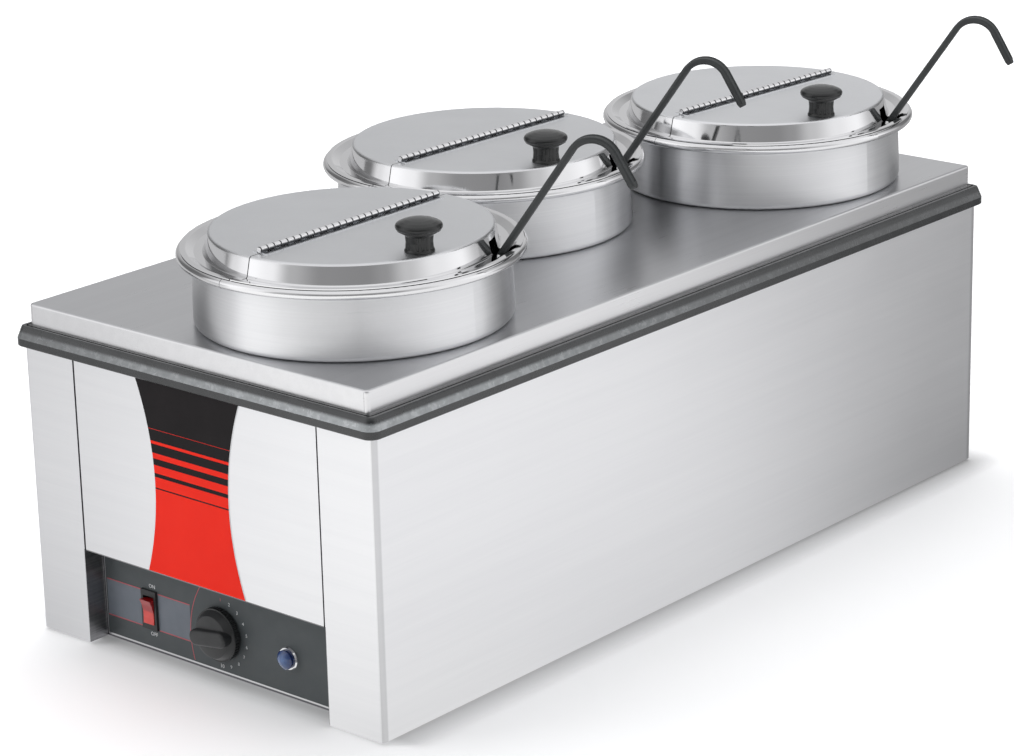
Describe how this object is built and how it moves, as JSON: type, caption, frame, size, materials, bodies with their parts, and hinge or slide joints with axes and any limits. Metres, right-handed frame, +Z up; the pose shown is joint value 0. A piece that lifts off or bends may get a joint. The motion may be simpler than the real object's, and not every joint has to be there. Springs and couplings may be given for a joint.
{
  "type": "soup kettle",
  "caption": "Long countertop food warmer with round steel insets in a flat plate, each with a hinged half-opening cover, a black knob and a hooked ladle, and recessed front controls.",
  "frame": {"origin": "on the table, under the middle of the case", "axes": "+X to the right along the short front, +Y back along the length, +Z up"},
  "size_m": [0.4201, 0.757, 0.3995],
  "materials": {
    "stainless_case": "fine brushed stainless sheet, bright",
    "stainless_plate": "brushed stainless, grain along the length",
    "stainless_satin": "satin stainless, turned grain",
    "stainless_cover": "polished rim with a satin flat",
    "steel_small": "plain bright steel",
    "black_resin": "moulded black resin with a soft sheen",
    "black_phenolic": "glossy black heat-proof plastic",
    "grip_plastic": "dark grey moulded handle",
    "overlay_film": "dark charcoal printed film",
    "badge_film": "printed film, dark above and red below",
    "red_rocker": "red moulded plastic",
    "blue_lens": "clear blue lens",
    "chrome_ring": "bright plated ring",
    "galvanised": "plain zinc-coated sheet",
    "rubber_black": "soft black rubber",
    "fibre_wool": "pale yellow mineral wool",
    "element_sheath": "dull heat-darkened sheath",
    "copper_tube": "drawn copper tube",
    "ceramic_body": "cream ceramic and moulded body"
  },
  "bodies": {
    "base": {"case_left": "stainless_case", "case_right": "stainless_case", "case_back": "stainless_case", "front_panel": "stainless_case", "front_badge": "badge_film", "control_panel": "stainless_case", "control_overlay": "overlay_film", "base_pan": "galvanised", "feet": "rubber_black", "well_rim": "black_resin", "rim_corners": "black_resin", "well_pan": "stainless_satin", "well_corners": "stainless_satin", "well_floor": "stainless_satin", "insulation": "fibre_wool", "heating_element": "element_sheath", "element_clamps": "galvanised", "thermostat": "ceramic_body", "heat_sensor": "copper_tube", "switch_frame": "black_phenolic", "lamp_bezel": "chrome_ring", "lamp_lens": "blue_lens", "terminal_block": "ceramic_body", "cord_gland": "black_resin"},
    "plate": {"adapter_plate": "stainless_plate"},
    "rocker": {"switch_rocker": "red_rocker"},
    "dial": {"thermostat_shaft": "steel_small", "heat_knob": "black_phenolic"},
    "inset_1_body": {"inset_1": "stainless_satin", "inset_neck_1": "stainless_satin"},
    "cover_1_body": {"cover_rear_1": "stainless_cover", "hinge_rear_1": "steel_small", "hinge_pin_1": "steel_small"},
    "flap_1_body": {"cover_flap_1": "stainless_cover", "hinge_front_1": "steel_small", "cover_knob_1": "black_phenolic", "knob_screw_1": "steel_small"},
    "ladle_1_body": {"ladle_bowl_1": "stainless_satin", "ladle_grip_1": "grip_plastic"},
    "inset_2_body": {"inset_2": "stainless_satin", "inset_neck_2": "stainless_satin"},
    "cover_2_body": {"cover_rear_2": "stainless_cover", "hinge_rear_2": "steel_small", "hinge_pin_2": "steel_small"},
    "flap_2_body": {"cover_flap_2": "stainless_cover", "hinge_front_2": "steel_small", "cover_knob_2": "black_phenolic", "knob_screw_2": "steel_small"},
    "ladle_2_body": {"ladle_bowl_2": "stainless_satin", "ladle_grip_2": "grip_plastic"},
    "inset_3_body": {"inset_3": "stainless_satin", "inset_neck_3": "stainless_satin"},
    "cover_3_body": {"cover_rear_3": "stainless_cover", "hinge_rear_3": "steel_small", "hinge_pin_3": "steel_small"},
    "flap_3_body": {"cover_flap_3": "stainless_cover", "hinge_front_3": "steel_small", "cover_knob_3": "black_phenolic", "knob_screw_3": "steel_small"},
    "ladle_3_body": {"ladle_bowl_3": "stainless_satin", "ladle_grip_3": "grip_plastic"}
  },
  "joints": [
    {"name": "plate_lift", "type": "slide", "parent": "base", "child": "plate", "axis": [0, 0, 1], "range_m": [0, 0.16]},
    {"name": "rocker_tilt", "type": "hinge", "parent": "base", "child": "rocker", "pos_m": [-0.0745, -0.3495, 0.035], "axis": [1, 0, 0], "range_deg": [-18, 0]},
    {"name": "dial_turn", "type": "hinge", "parent": "base", "child": "dial", "pos_m": [0, -0.3513, 0.035], "axis": [0, 1, 0], "range_deg": [0, 270]},
    {"name": "inset_1_lift", "type": "slide", "parent": "plate", "child": "inset_1_body", "axis": [0, 0, 1], "range_m": [0, 0.18]},
    {"name": "cover_1_lift", "type": "slide", "parent": "inset_1_body", "child": "cover_1_body", "axis": [0, 0, 1], "range_m": [0, 0.06]},
    {"name": "flap_1_hinge", "type": "hinge", "parent": "cover_1_body", "child": "flap_1_body", "pos_m": [0.043, -0.243, 0.329], "axis": [0, -1, 0], "range_deg": [0, 150]},
    {"name": "ladle_1_slide", "type": "slide", "parent": "inset_1_body", "child": "ladle_1_body", "axis": [0.5035, 0.2434, 0.829], "range_m": [0, 0.1]},
    {"name": "inset_2_lift", "type": "slide", "parent": "plate", "child": "inset_2_body", "axis": [0, 0, 1], "range_m": [0, 0.18]},
    {"name": "cover_2_lift", "type": "slide", "parent": "inset_2_body", "child": "cover_2_body", "axis": [0, 0, 1], "range_m": [0, 0.06]},
    {"name": "flap_2_hinge", "type": "hinge", "parent": "cover_2_body", "child": "flap_2_body", "pos_m": [-0.043, 0, 0.329], "axis": [-0.0349, -0.9994, 0], "range_deg": [0, 150]},
    {"name": "ladle_2_slide", "type": "slide", "parent": "inset_2_body", "child": "ladle_2_body", "axis": [0.5116, 0.2257, 0.829], "range_m": [0, 0.1]},
    {"name": "inset_3_lift", "type": "slide", "parent": "plate", "child": "inset_3_body", "axis": [0, 0, 1], "range_m": [0, 0.18]},
    {"name": "cover_3_lift", "type": "slide", "parent": "inset_3_body", "child": "cover_3_body", "axis": [0, 0, 1], "range_m": [0, 0.06]},
    {"name": "flap_3_hinge", "type": "hinge", "parent": "cover_3_body", "child": "flap_3_body", "pos_m": [0.043, 0.243, 0.329], "axis": [-0.0698, -0.9976, 0], "range_deg": [0, 150]},
    {"name": "ladle_3_slide", "type": "slide", "parent": "inset_3_body", "child": "ladle_3_body", "axis": [0.5192, 0.2077, 0.829], "range_m": [0, 0.1]}
  ]
}
